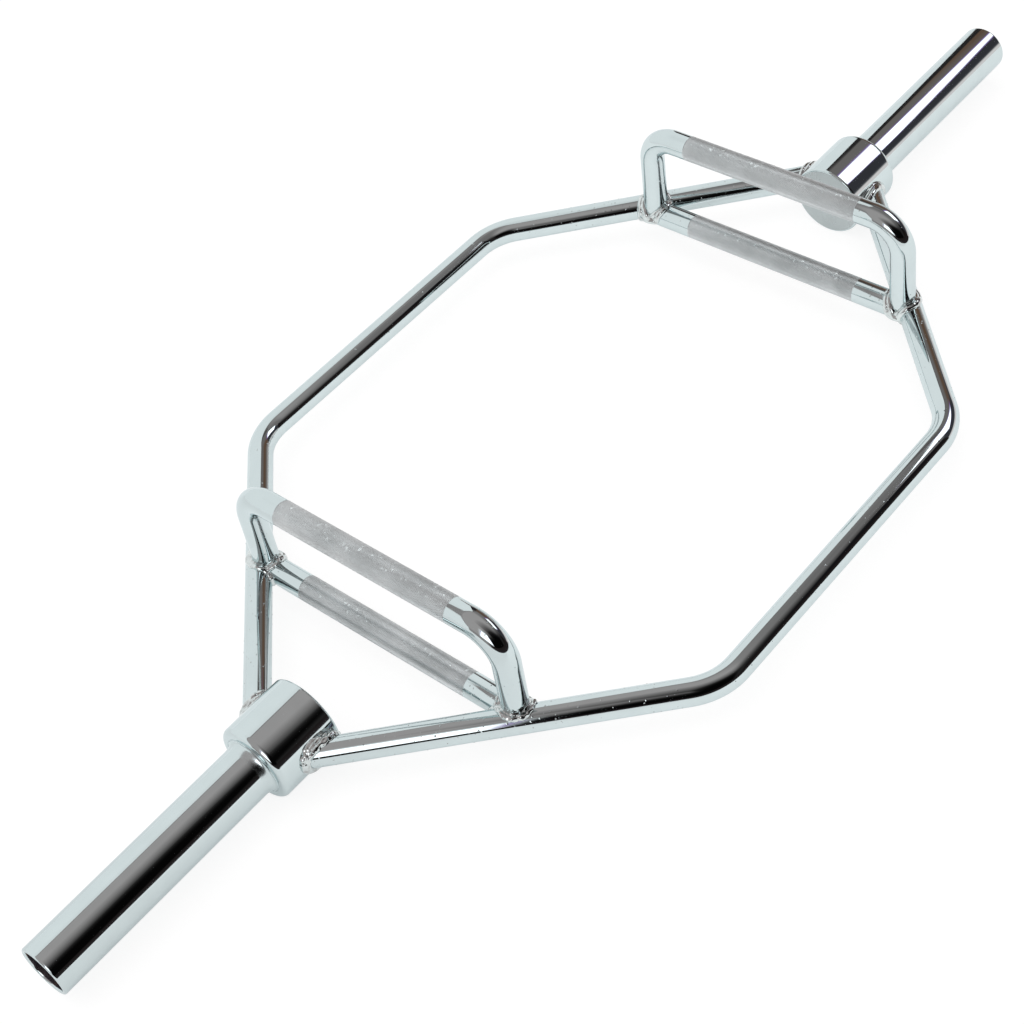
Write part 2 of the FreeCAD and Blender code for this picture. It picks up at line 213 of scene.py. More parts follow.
def start_finish(name):
    finish = bpy.data.materials.new(name)
    finish.use_nodes = True
    tree = finish.node_tree
    shader = tree.nodes["Principled BSDF"]
    shader.inputs["Metallic"].default_value = 1.0
    place = add_node(tree, "ShaderNodeTexCoord").outputs["Object"]
    return finish, tree, shader, place


def pitted(tree, place, cell, radius, kept):
    """One in the middle of each pit; kept is the share of the cells that hold one."""
    cells = add_node(tree, "ShaderNodeTexVoronoi", {"Vector": place, "Scale": 1.0 / cell})
    spot = ramped(tree, cells.outputs["Distance"], 0.0, radius / cell, 1.0, 0.0)
    lot = add_node(tree, "ShaderNodeSeparateColor", {0: cells.outputs["Color"]})
    return reckon(tree, "MULTIPLY", spot, reckon(tree, "LESS_THAN", lot.outputs[0], kept))


def near_welds(tree, place):
    """One at the welds of the frame bars, falling to none a hand's width away."""
    apart = add_node(tree, "ShaderNodeVectorMath", {0: place}, operation="ABSOLUTE").outputs[0]
    handle_joint = (HANDLE_X, JOINT_Y, AXIS_HEIGHT)
    collar_joint = (RUN_REACH - COLLAR_PIT_Y, COLLAR_PIT_Y, AXIS_HEIGHT)
    share = 0.0
    for joint, reach in ((handle_joint, HANDLE_PIT_REACH), (collar_joint, COLLAR_PIT_REACH)):
        close = ramped(tree, gap_between(tree, apart, joint), PIT_FULL_REACH, reach, 1.0, 0.0)
        share = reckon(tree, "MAXIMUM", share, close)
    return share


def embossed(tree, shader, height, strength, distance):
    bump = add_node(tree, "ShaderNodeBump", {"Strength": strength, "Distance": distance, "Height": height})
    feed(tree, shader.inputs["Normal"], bump.outputs[0])


def waved(tree, place, scale):
    return reckon(tree, "MULTIPLY", clouded(tree, place, scale, detail=1.0), WAVE_SHARE)


def start_chrome(name, glossiest, dullest, deep=CHROME_DEEP, pale=CHROME_PALE):
    finish, tree, shader, place = start_finish(name)
    shader.inputs["Specular Tint"].default_value = CHROME_EDGE
    haze = clouded(tree, place, scale=45.0)
    feed(tree, shader.inputs["Base Color"], blended(tree, haze, (*deep, 1.0), (*pale, 1.0)))
    dulled = ramped(tree, haze, low=0.3, high=0.75, out_low=glossiest, out_high=dullest)
    feed(tree, shader.inputs["Roughness"], dulled)
    return finish, tree, shader, place


def drawn_chrome():
    finish, tree, shader, place = start_chrome("drawn_chrome", glossiest=0.03, dullest=0.075)
    at_welds = reckon(tree, "MULTIPLY", near_welds(tree, place), PITS_AT_WELDS)
    kept = reckon(tree, "ADD", PITS_EVERYWHERE, at_welds)
    pits = pitted(tree, place, cell=0.0042, radius=0.0010, kept=kept)
    relief = reckon(tree, "ADD", pits, waved(tree, place, scale=30.0))
    embossed(tree, shader, relief, strength=0.5, distance=0.0004)
    return finish


def turned_chrome():
    finish, tree, shader, place = start_chrome("turned_chrome", glossiest=0.035, dullest=0.085)
    stretch = add_node(tree, "ShaderNodeMapping", {"Vector": place, "Scale": STREAK_STRETCH})
    marks = clouded(tree, stretch.outputs[0], scale=230.0, detail=2.0)
    streaks = reckon(tree, "MULTIPLY", marks, STREAK_SHARE)
    relief = reckon(tree, "ADD", streaks, waved(tree, place, scale=26.0))
    embossed(tree, shader, relief, strength=0.5, distance=0.0004)
    return finish


def ground_chrome():
    finish, tree, shader, place = start_chrome("ground_chrome", glossiest=0.16, dullest=0.24)
    embossed(tree, shader, clouded(tree, place, scale=220.0, detail=2.0), strength=0.4, distance=0.0002)
    return finish


def knurled_chrome():
    finish, tree, shader, place = start_finish("knurled_chrome")
    colour = toned(tree, clouded(tree, place, scale=20.0, detail=8.0), KNURL_TONES)
    z = split_place(tree, place)[2]
    upper = reckon(tree, "GREATER_THAN", z, 0.5 * (AXIS_HEIGHT + RAISED_HEIGHT))
    rise = reckon(tree, "MULTIPLY", upper, RAISED_HEIGHT - AXIS_HEIGHT)
    height = reckon(tree, "SUBTRACT", z, rise)
    # Flecks on the upper side of each handle's knurl are paler and glossier.
    crown = ramped(tree, height, AXIS_HEIGHT + CROWN_START, AXIS_HEIGHT + CROWN_FULL)
    flecks = ramped(tree, clouded(tree, place, scale=260.0, detail=4.0), low=0.61, high=0.69)
    paled_flecks = reckon(tree, "MULTIPLY", crown, flecks)
    feed(tree, shader.inputs["Base Color"], blended(tree, paled_flecks, colour, PALE_FLECKS))
    feed(tree, shader.inputs["Roughness"], ramped(tree, paled_flecks, 0.0, 1.0, out_low=0.34, out_high=0.26))
    return finish


# The collars' inner faces: a rougher chrome, with a darker colour that is partly painted shade.
def faced_chrome_painted_shade():
    finish, tree, shader, place = start_chrome("faced_chrome_painted_shade", 0.26, 0.34, FACED_SHADED_DEEP, FACED_SHADED_PALE)
    embossed(tree, shader, clouded(tree, place, scale=260.0, detail=3.0), strength=0.3, distance=0.0002)
    return finish


def plated_weld():
    finish, tree, shader, place = start_finish("plated_weld")
    crust = clouded(tree, place, scale=200.0, detail=1.5)
    feed(tree, shader.inputs["Base Color"], toned(tree, crust, WELD_TONES))
    dulled = ramped(tree, crust, low=0.3, high=0.7, out_low=0.16, out_high=0.08)
    feed(tree, shader.inputs["Roughness"], dulled)
    embossed(tree, shader, crust, strength=0.2, distance=0.0005)
    return finish


def bare_bore():
    finish, tree, shader, place = start_finish("bare_bore")
    stain = clouded(tree, place, scale=55.0, detail=5.0)
    feed(tree, shader.inputs["Base Color"], toned(tree, stain, BORE_TONES))
    dulled = ramped(tree, stain, low=0.35, high=0.7, out_low=0.30, out_high=0.45)
    feed(tree, shader.inputs["Roughness"], dulled)
    return finish


DRAWN = drawn_chrome()
TURNED = turned_chrome()
GROUND = ground_chrome()
FACED_AND_SHADED = faced_chrome_painted_shade()
KNURL = knurled_chrome()
WELD = plated_weld()
BORE = bare_bore()


# Shapes.
def make_piece(name, shell, finishes, sharp=35.0):
    bmesh.ops.recalc_face_normals(shell, faces=shell.faces[:])
    mesh = bpy.data.meshes.new(name)
    shell.to_mesh(mesh)
    shell.free()
    for face in mesh.polygons:
        face.use_smooth = True
    mesh.set_sharp_from_angle(angle=math.radians(sharp))
    for finish in finishes:
        mesh.materials.append(finish)
    piece = bpy.data.objects.new(name, mesh)
    bpy.context.scene.collection.objects.link(piece)
    return piece


def settle(piece, slot, *nodes):
    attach(piece, "root")
    if nodes:
        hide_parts(*nodes)


def eased(corners, closed, steps=8):
    """Turns outline corners (x, radius, round) into points, with an arc at each round."""
    points = []
    count = len(corners)
    for index, (x, r, radius) in enumerate(corners):
        here = Vector((x, r))
        if radius == 0.0 or (not closed and index in (0, count - 1)):
            points.append(here)
            continue
        back = (Vector(corners[index - 1][:2]) - here).normalized()
        ahead = (Vector(corners[(index + 1) % count][:2]) - here).normalized()
        half = back.angle(ahead) / 2.0
        middle = here + (back + ahead).normalized() * (radius / math.sin(half))
        start = here + back * (radius / math.tan(half)) - middle
        sweep = start.angle_signed(here + ahead * (radius / math.tan(half)) - middle)
        for step in range(steps + 1):
            turn = -sweep * step / steps
            points.append(middle + Vector((start.x * math.cos(turn) - start.y * math.sin(turn),
                                           start.x * math.sin(turn) + start.y * math.cos(turn))))
    return points


def with_edge_loops(points, closed, gap=0.00025):
    """Adds a point close to both ends of each long straight, so that its shading stays flat."""
    full = []
    pairs = list(zip(points, points[1:] + points[:1])) if closed else list(zip(points, points[1:]))
    for first, second in pairs:
        full.append(first)
        run = second - first
        if run.length > 5 * gap:
            full.append(first + run.normalized() * gap)
            full.append(second - run.normalized() * gap)
    if not closed:
        full.append(points[-1])
    return full


def turned(name, side, corners, closed, finishes, finish_of=None, around=160):
    """A piece turned about the sleeve axis from its outline."""
    shell = bmesh.new()
    rings = []
    outline = with_edge_loops(eased(corners, closed), closed)
    for point in outline:
        if point.y < TOLERANCE:
            rings.append([shell.verts.new((side * point.x, 0.0, AXIS_HEIGHT))])
            continue
        ring = []
        for step in range(around):
            turn = 2.0 * math.pi * step / around
            ring.append(shell.verts.new((side * point.x, point.y * math.cos(turn),
                                         AXIS_HEIGHT + point.y * math.sin(turn))))
        rings.append(ring)
    spans = len(rings) if closed else len(rings) - 1
    for index in range(spans):
        first, second = rings[index], rings[(index + 1) % len(rings)]
        finish = finish_of(outline[index], outline[(index + 1) % len(rings)]) if finish_of else 0
        for step in range(around):
            after = (step + 1) % around
            loop = [first[step % len(first)], first[after % len(first)],
                    second[after % len(second)], second[step % len(second)]]
            corners_of_face = [vert for place, vert in enumerate(loop) if vert not in loop[:place]]
            shell.faces.new(corners_of_face).material_index = finish
    return make_piece(name, shell, finishes)


def bent_path(corners, bend, steps=20, lead=0.002):
    """Points and directions along a bar that is bent at each inner corner."""
    corners = [Vector(corner) for corner in corners]
    path = [(corners[0], (corners[1] - corners[0]).normalized())]
    for before, here, after in zip(corners, corners[1:], corners[2:]):
        into = (here - before).normalized()
        out = (after - here).normalized()
        angle = into.angle(out)
        tangent = bend * math.tan(angle / 2.0)
        axis = into.cross(out).normalized()
        centre = here - into * tangent + axis.cross(into) * bend
        path.append((here - into * (tangent + lead), into))
        for step in range(steps + 1):
            turn = Quaternion(axis, angle * step / steps)
            path.append((centre + turn @ (here - into * tangent - centre), turn @ into))
        path.append((here + out * (tangent + lead), out))
    path.append((corners[-1], (corners[-1] - corners[-2]).normalized()))
    return path


def round_bar(name, path, flat, radius_at, finishes, around=72):
    """A round bar along a flat path; flat is the direction square to the path's plane."""
    shell = bmesh.new()
    flat = Vector(flat)
    rings = []
    for point, ahead in path:
        level = ahead.cross(flat).normalized()
        radius = radius_at(point)
        ring = []
        for step in range(around):
            turn = 2.0 * math.pi * step / around
            ring.append(shell.verts.new(point + (flat * math.cos(turn) + level * math.sin(turn)) * radius))
        rings.append(ring)
    for index, (first, second) in enumerate(zip(rings, rings[1:])):
        both_radii = radius_at(path[index][0]) + radius_at(path[index + 1][0])
        finish = 1 if both_radii < 2.0 * BAR_RADIUS - TOLERANCE else 0
        for step in range(around):
            after = (step + 1) % around
            face = shell.faces.new((first[step], first[after], second[after], second[step]))
            face.material_index = finish
    shell.faces.new(rings[0])
    shell.faces.new(rings[-1])
    return make_piece(name, shell, finishes)


def plain_radius(_):
    return BAR_RADIUS


def grip_radius(middle):
    def radius_at(point):
        return BAND_ROOT if abs(point.y - middle) < BAND_HALF else BAR_RADIUS
    return radius_at


def grip_path(path, middle):
    """Adds the two steps at the ends of the knurled band to a handle's path."""
    steps = (-BAND_HALF - BAND_STEP_OUTSIDE, -BAND_HALF + BAND_STEP_INSIDE,
             BAND_HALF - BAND_STEP_INSIDE, BAND_HALF + BAND_STEP_OUTSIDE)
    full = []
    for (first, ahead), (second, _) in zip(path, path[1:]):
        full.append((first, ahead))
        run = second - first
        for step in steps:
            place = middle + step
            if first.y < place < second.y:
                full.append((first + run * ((place - first.y) / run.y), ahead))
    full.append(path[-1])
    return full


# Trees for the shapes that repeat.
SHAPE, PLACE, NUMBER, COUNT = "NodeSocketGeometry", "NodeSocketVector", "NodeSocketFloat", "NodeSocketInt"


def start_tree(name, inputs):
    tree = bpy.data.node_groups.new(name, "GeometryNodeTree")
    sockets = {}
    for label, kind in inputs:
        sockets[label] = tree.interface.new_socket(label, in_out="INPUT", socket_type=kind).identifier
    tree.interface.new_socket("Geometry", in_out="OUTPUT", socket_type=SHAPE)
    return tree, tree.nodes.new("NodeGroupInput"), tree.nodes.new("NodeGroupOutput"), sockets


def close_tree(tree, out, shape, finish):
    """Ends a tree with real geometry in one finish."""
    solid = add_node(tree, "GeometryNodeRealizeInstances", {0: shape})
    coat = add_node(tree, "GeometryNodeSetMaterial", {"Geometry": solid.outputs[0], "Material": finish})
    feed(tree, out.inputs[0], coat.outputs[0])


def knurl_tree():
    tree, given, out, sockets = start_tree("knurl_band", (
        ("Geometry", SHAPE), ("Bar middle", PLACE), ("Band length", NUMBER), ("Root radius", NUMBER),
        ("Points round", NUMBER), ("Row step", NUMBER), ("Point size", PLACE), ("Seed", COUNT)))
    order = add_node(tree, "GeometryNodeInputIndex").outputs[0]
    ring = given.outputs["Points round"]
    row_step = given.outputs["Row step"]
    rows = reckon(tree, "FLOOR", reckon(tree, "DIVIDE", given.outputs["Band length"], row_step))
    row = reckon(tree, "FLOOR", reckon(tree, "DIVIDE", reckon(tree, "ADD", order, 0.5), ring))
    column = reckon(tree, "SUBTRACT", order, reckon(tree, "MULTIPLY", row, ring))
    stagger = reckon(tree, "MULTIPLY", reckon(tree, "MODULO", row, 2.0), 0.5)
    staggered = reckon(tree, "ADD", column, stagger)
    turn = reckon(tree, "DIVIDE", reckon(tree, "MULTIPLY", staggered, 2.0 * math.pi), ring)
    half_rows = reckon(tree, "MULTIPLY", reckon(tree, "SUBTRACT", rows, 1.0), 0.5)
    along = reckon(tree, "MULTIPLY", reckon(tree, "SUBTRACT", row, half_rows), row_step)
    radius = given.outputs["Root radius"]
    spot = add_node(tree, "ShaderNodeCombineXYZ", {
        0: reckon(tree, "MULTIPLY", reckon(tree, "SINE", turn), radius), 1: along,
        2: reckon(tree, "MULTIPLY", reckon(tree, "COSINE", turn), radius)})
    place = add_node(tree, "ShaderNodeVectorMath", {0: spot.outputs[0], 1: given.outputs["Bar middle"]},
                     operation="ADD")
    points = add_node(tree, "GeometryNodePoints", {
        "Count": reckon(tree, "MULTIPLY", rows, ring), "Position": place.outputs[0]})
    # A four-sided point with a flat top, one unit wide and high.
    point = add_node(tree, "GeometryNodeMeshCone", {
        "Vertices": 4, "Radius Top": 0.28, "Radius Bottom": 0.5, "Depth": 1.0})
    lean = add_node(tree, "ShaderNodeCombineXYZ", {1: turn})
    wear = add_node(tree, "FunctionNodeRandomValue", {2: MOST_WORN, 3: 1.0, "Seed": given.outputs["Seed"]},
                    data_type="FLOAT")
    size = add_node(tree, "ShaderNodeVectorMath", {
        0: given.outputs["Point size"], "Scale": wear.outputs[1]}, operation="SCALE")
    spread = add_node(tree, "GeometryNodeInstanceOnPoints", {
        "Points": points.outputs[0], "Instance": point.outputs["Mesh"],
        "Rotation": lean.outputs[0], "Scale": size.outputs[0]})
    close_tree(tree, out, spread.outputs[0], KNURL)
    return tree, sockets


def bead_tree():
    tree, given, out, sockets = start_tree("weld_bead", (
        ("Geometry", SHAPE), ("Bead radius", NUMBER), ("Step", NUMBER), ("Swell length", NUMBER),
        ("Grain", NUMBER), ("Drop size", NUMBER), ("Drop height", NUMBER), ("Lump size", NUMBER),
        ("Lump height", NUMBER), ("Smooth below", NUMBER), ("Rough above", NUMBER),
        ("Fewest points", COUNT), ("Seed", NUMBER)))

    def spread_noise(size):
        noise = add_node(tree, "ShaderNodeTexNoise", {
            "Scale": reckon(tree, "DIVIDE", 1.0, size), "Detail": 1.0, "W": given.outputs["Seed"]},
            noise_dimensions="4D")
        return reckon(tree, "SUBTRACT", noise.outputs[0], 0.5)

    even = add_node(tree, "GeometryNodeResampleCurve", {
        "Curve": given.outputs["Geometry"], "Length": given.outputs["Step"]}, mode="LENGTH")
    swell = reckon(tree, "MULTIPLY", spread_noise(given.outputs["Swell length"]), SWELL)
    laid = add_node(tree, "GeometryNodeInputRadius").outputs[0]
    swelled = add_node(tree, "GeometryNodeSetCurveRadius", {
        "Curve": even.outputs[0], "Radius": reckon(tree, "MULTIPLY", laid, reckon(tree, "ADD", swell, 1.0))})
    profile = add_node(tree, "GeometryNodeCurvePrimitiveCircle", {
        "Resolution": 20, "Radius": given.outputs["Bead radius"]})
    tube = add_node(tree, "GeometryNodeCurveToMesh", {
        "Curve": swelled.outputs[0], "Profile Curve": profile.outputs[0], "Fill Caps": True})
    melt = add_node(tree, "GeometryNodeMeshToVolume", {
        "Mesh": tube.outputs[0], "Voxel Size": given.outputs["Grain"],
        "Interior Band Width": given.outputs["Bead radius"]}, resolution_mode="VOXEL_SIZE")
    skin = add_node(tree, "GeometryNodeVolumeToMesh", {"Volume": melt.outputs[0]}, resolution_mode="GRID")
    # The melted bead is kept without loose grains and inner voids.
    island = add_node(tree, "GeometryNodeInputMeshIsland").outputs["Island Index"]
    count = add_node(tree, "GeometryNodeAccumulateField", {"Value": 1, "Group ID": island},
                     data_type="INT", domain="POINT")
    loose = reckon(tree, "LESS_THAN", count.outputs["Total"], given.outputs["Fewest points"])
    whole = add_node(tree, "GeometryNodeDeleteGeometry", {"Geometry": skin.outputs[0], "Selection": loose},
                     domain="POINT")
    # Its skin is raised in drops and lumps, more so above.
    drops = add_node(tree, "ShaderNodeTexVoronoi", voronoi_dimensions="4D", feature="SMOOTH_F1")
    feed(tree, drops.inputs["Scale"], reckon(tree, "DIVIDE", 1.0, given.outputs["Drop size"]))
    feed(tree, drops.inputs["W"], given.outputs["Seed"])
    drop = reckon(tree, "SUBTRACT", 0.5, drops.outputs["Distance"])
    drop = reckon(tree, "MULTIPLY", drop, given.outputs["Drop height"])
    lump = spread_noise(given.outputs["Lump size"])
    lump = reckon(tree, "MULTIPLY", lump, given.outputs["Lump height"])
    height = split_place(tree, add_node(tree, "GeometryNodeInputPosition").outputs[0])[2]
    crumpled = ramped(tree, height, given.outputs["Smooth below"], given.outputs["Rough above"],
                      LEAST_CRUMPLING, 1.0)
    raised = add_node(tree, "ShaderNodeVectorMath", {
        0: add_node(tree, "GeometryNodeInputNormal").outputs[0],
        "Scale": reckon(tree, "MULTIPLY", reckon(tree, "ADD", drop, lump), crumpled)}, operation="SCALE")
    move = add_node(tree, "GeometryNodeSetPosition", {
        "Geometry": whole.outputs[0], "Offset": raised.outputs[0]})
    smooth = add_node(tree, "GeometryNodeSetShadeSmooth", {0: move.outputs[0]})
    close_tree(tree, out, smooth.outputs[0], WELD)
    return tree, sockets


def spatter_tree():
    tree, given, out, sockets = start_tree("weld_spatter", (
        ("Geometry", SHAPE), ("Collar weld", PLACE), ("Handle weld", PLACE), ("Reach", NUMBER),
        ("Drops per area", NUMBER), ("Smallest", NUMBER), ("Largest", NUMBER), ("Seed", COUNT)))
    here = add_node(tree, "GeometryNodeInputPosition").outputs[0]
    share = 0.0
    for weld in ("Collar weld", "Handle weld"):
        close = ramped(tree, gap_between(tree, here, given.outputs[weld]),
                       SPATTER_FULL_REACH, given.outputs["Reach"], 1.0, 0.0)
        share = reckon(tree, "MAXIMUM", share, reckon(tree, "POWER", close, 2.0))
    thrown = add_node(tree, "GeometryNodeDistributePointsOnFaces", {
        "Mesh": given.outputs["Geometry"], "Seed": given.outputs["Seed"],
        "Density": reckon(tree, "MULTIPLY", share, given.outputs["Drops per area"])})
    drop = add_node(tree, "GeometryNodeMeshIcoSphere", {"Radius": 1.0, "Subdivisions": 2})
    smooth = add_node(tree, "GeometryNodeSetShadeSmooth", {0: drop.outputs["Mesh"]})
    size = add_node(tree, "FunctionNodeRandomValue", {
        2: given.outputs["Smallest"], 3: given.outputs["Largest"], "Seed": given.outputs["Seed"]},
        data_type="FLOAT").outputs[1]
    # Each drop is half as high as it is wide.
    flat = add_node(tree, "ShaderNodeCombineXYZ", {0: size, 1: size, 2: reckon(tree, "MULTIPLY", size, 0.5)})
    spread = add_node(tree, "GeometryNodeInstanceOnPoints", {
        "Points": thrown.outputs["Points"], "Instance": smooth.outputs[0],
        "Rotation": thrown.outputs["Rotation"], "Scale": flat.outputs[0]})
    close_tree(tree, out, spread.outputs[0], WELD)
    return tree, sockets


KNURL_TREE, KNURL_SOCKETS = knurl_tree()
BEAD_TREE, BEAD_SOCKETS = bead_tree()
SPATTER_TREE, SPATTER_SOCKETS = spatter_tree()


def grown(name, source, tree, sockets, values):
    """Runs a tree on a source object and keeps the result as a plain mesh."""
    bpy.context.scene.collection.objects.link(source)
    grow = source.modifiers.new("grow", "NODES")
    grow.node_group = tree
    for label, value in values.items():
        grow[sockets[label]] = value
    bpy.context.view_layer.update()
    graph = bpy.context.evaluated_depsgraph_get()
    mesh = bpy.data.meshes.new_from_object(source.evaluated_get(graph))
    mesh.name = name
    source.modifiers.remove(grow)
    bpy.data.objects.remove(source)
    piece = bpy.data.objects.new(name, mesh)
    bpy.context.scene.collection.objects.link(piece)
    return piece


def knurl_band(name, middle, seed):
    source = bpy.data.objects.new(name + "_source", bpy.data.meshes.new(name + "_source"))
    return grown(name, source, KNURL_TREE, KNURL_SOCKETS, {
        "Bar middle": middle, "Band length": 2.0 * BAND_HALF, "Root radius": BAND_ROOT - KNURL_SINK,
        "Points round": 49.0, "Row step": 0.00135, "Point size": (0.00152, 0.0026, 0.00034), "Seed": seed})


def weld_bead(name, loops, radius, roughness, seed):
    curve = bpy.data.curves.new(name + "_source", "CURVE")
    curve.dimensions = "3D"
    for loop in loops:
        spline = curve.splines.new("POLY")
        spline.points.add(len(loop) - 1)
        for point, (place, weight) in zip(spline.points, loop):
            point.co = (*place, 1.0)
            point.radius = weight
        spline.use_cyclic_u = True
    source = bpy.data.objects.new(name + "_source", curve)
    return grown(name, source, BEAD_TREE, BEAD_SOCKETS, {
        "Bead radius": radius, "Step": 0.0006, "Swell length": 0.010, "Grain": 0.00045,
        "Drop size": 0.0058, "Drop height": DROP_HEIGHT * roughness,
        "Lump size": 0.0042, "Lump height": LUMP_HEIGHT * roughness,
        "Smooth below": BEAD_SMOOTH_HEIGHT, "Rough above": BEAD_ROUGH_HEIGHT,
        "Fewest points": 2000, "Seed": seed})


def weld_spatter(name, bar, side, way, seed):
    """Small drops of weld metal that stuck to a frame bar."""
    source = bpy.data.objects.new(name + "_source", bar.data.copy())
    return grown(name, source, SPATTER_TREE, SPATTER_SOCKETS, {
        "Collar weld": (side * (RUN_REACH - COLLAR_SPATTER_Y), way * COLLAR_SPATTER_Y, AXIS_HEIGHT),
        "Handle weld": (side * HANDLE_X, way * JOINT_Y, AXIS_HEIGHT), "Reach": SPATTER_REACH,
        "Drops per area": 20000.0, "Smallest": 0.0002, "Largest": 0.0007, "Seed": seed})


# Sleeves, collars and the ground fillets between them.
def sleeve_finish(first, second):
    """Which finish a stretch of a sleeve's outline has: the bore's or the outside's."""
    return 1 if max(first.y, second.y) < SLEEVE_BORE + TOLERANCE else 0


def collar_finish(first, second):
    """Which finish a stretch of a collar's outline has: the inner face's, the seat's or the outside's."""
    outmost = max(first.x, second.x)
    if outmost < COLLAR_INNER + TOLERANCE:
        return 2
    seat = max(first.y, second.y) < SEAT_RADIUS + TOLERANCE and outmost < COLLAR_OUTER + TOLERANCE
    return 1 if seat else 0


def fillet_outline():
    """A short lip against the collar, then a hollow that runs out on the sleeve."""
    outline = [(COLLAR_OUTER, SPIGOT_RADIUS, 0.0), (COLLAR_OUTER, FILLET_TOP + LIP_TOP, 0.0),
               (COLLAR_OUTER + LIP_REACH, FILLET_TOP + LIP_SHOULDER, LIP_ROUND),
               (COLLAR_OUTER + LIP_REACH, FILLET_TOP + LIP_FOOT, LIP_ROUND),
               (COLLAR_OUTER + LIP_FOOT_REACH, FILLET_TOP, 0.0)]
    length = FILLET_REACH - HOLLOW_START
    height = FILLET_TOP - SLEEVE_RADIUS
    for step in range(HOLLOW_STEPS + 1):
        turn = 0.5 * math.pi * step / HOLLOW_STEPS
        outline.append((COLLAR_OUTER + FILLET_REACH - length * math.cos(turn),
                        FILLET_TOP - height * math.sin(turn), 0.0))
    outline.append((COLLAR_OUTER + FILLET_REACH, SPIGOT_RADIUS, 0.0))
    return outline


SLEEVE_OUTLINE = (
    (SEAT_BOTTOM, SLEEVE_BORE, 0.0), (SLEEVE_END, SLEEVE_BORE, RIM_ROUND),
    (SLEEVE_END, SLEEVE_RADIUS, RIM_ROUND), (SLEEVE_SHOULDER, SLEEVE_RADIUS, 0.0),
    (SLEEVE_SHOULDER, SPIGOT_RADIUS, 0.0), (SEAT_BOTTOM, SPIGOT_RADIUS, 0.0))
COLLAR_OUTLINE = (
    (COLLAR_INNER, 0.0, 0.0), (COLLAR_INNER, COLLAR_RADIUS, COLLAR_INNER_ROUND),
    (COLLAR_OUTER, COLLAR_RADIUS, COLLAR_ROUND), (COLLAR_OUTER, SEAT_RADIUS, 0.0),
    (SEAT_BOTTOM, SEAT_RADIUS, 0.0), (SEAT_BOTTOM, 0.0, 0.0))

for hand, side in SIDES.items():
    sleeve = turned(hand + "_sleeve_tube", side, SLEEVE_OUTLINE, True, (TURNED, BORE), sleeve_finish)
    settle(sleeve, "polished_chrome", hand + "_sleeve")
    collar = turned(hand + "_collar_block", side, COLLAR_OUTLINE, False, (TURNED, BORE, FACED_AND_SHADED), collar_finish)
    settle(collar, "polished_chrome", hand + "_collar")
    fillet = turned(hand + "_sleeve_fillet", side, fillet_outline(), True, (GROUND,))
    settle(fillet, "plated_weld", hand + "_sleeve_weld")


# The two bent bars of the frame.
RUN_END = COLLAR_RADIUS * 0.5
for end, way in ENDS.items():
    corners = ((-(RUN_REACH - RUN_END), way * RUN_END, AXIS_HEIGHT),
               (-CORNER_X, way * FRAME_HALF_WIDTH, AXIS_HEIGHT),
               (CORNER_X, way * FRAME_HALF_WIDTH, AXIS_HEIGHT),
               (RUN_REACH - RUN_END, way * RUN_END, AXIS_HEIGHT))
    path = bent_path(corners, FRAME_BEND)
    bar = round_bar(end + "_hexagon_bar", path, (0.0, 0.0, 1.0), plain_radius, (DRAWN,))
    settle(bar, "polished_chrome", end + "_frame_bar")
    for hand, side in SIDES.items():
        spatter = weld_spatter(hand + "_" + end + "_spatter", bar, side, way, 20 + 2 * side + way)
        settle(spatter, "plated_weld")


# Low and raised handles, each with its knurled band.
for hand, side in SIDES.items():
    x = side * HANDLE_X
    front, rear = hand + "_front", hand + "_rear"
    low_path = bent_path(((x, -JOINT_Y + LOW_END_INSET, AXIS_HEIGHT),
                          (x, JOINT_Y - LOW_END_INSET, AXIS_HEIGHT)), BAR_RADIUS)
    raised_path = bent_path(((x, -RAISED_FOOT[front], AXIS_HEIGHT), (x, -RAISED_CORNER[front], RAISED_HEIGHT),
                             (x, RAISED_CORNER[rear], RAISED_HEIGHT), (x, RAISED_FOOT[rear], AXIS_HEIGHT)),
                            RAISED_BEND)
    for label, line, flat, height, seed in (("low", low_path, (0.0, 0.0, 1.0), AXIS_HEIGHT, 3),
                                            ("raised", raised_path, (1.0, 0.0, 0.0), RAISED_HEIGHT, 8)):
        handle = hand + "_" + label
        middle = BAND_MIDDLE[handle]
        path = grip_path(line, middle)
        grip = round_bar(handle + "_grip_bar", path, flat, grip_radius(middle), (DRAWN, KNURL))
        settle(grip, "knurled_chrome", handle + "_handle")
        band = knurl_band(handle + "_knurl", (x, middle, height), seed + side)
        settle(band, "knurled_chrome")


# Weld beads along the lines where the bars meet.
# Each point of a line has its place and its weight, the share of the bead's radius that is laid there.
TURNS = [2.0 * math.pi * step / BEAD_POINTS for step in range(BEAD_POINTS)]


def collar_lines(hand, end):
    """The line round the bar at the collar, and two more passes that climb the bar's upper side."""
    side, way = SIDES[hand], ENDS[end]
    lines = []
    for climb, thin, thick in COLLAR_PASSES:
        line = []
        for turn in TURNS:
            upper = max(math.cos(turn - math.radians(COLLAR_CROWN[end])), 0.0) ** COLLAR_CROWN_POWER
            along = climb * (LEAST_CLIMB + (1.0 - LEAST_CLIMB) * upper) / math.sqrt(2.0)
            y = math.sqrt(COLLAR_RADIUS ** 2 - (BAR_RADIUS * math.sin(turn)) ** 2)
            x = RUN_REACH + BAR_RADIUS * math.sqrt(2.0) * math.cos(turn) - y
            place = (side * (x - along), way * (y + along), AXIS_HEIGHT + BAR_RADIUS * math.sin(turn))
            line.append((place, thin + (thick - thin) * upper))
        lines.append(line)
    return lines


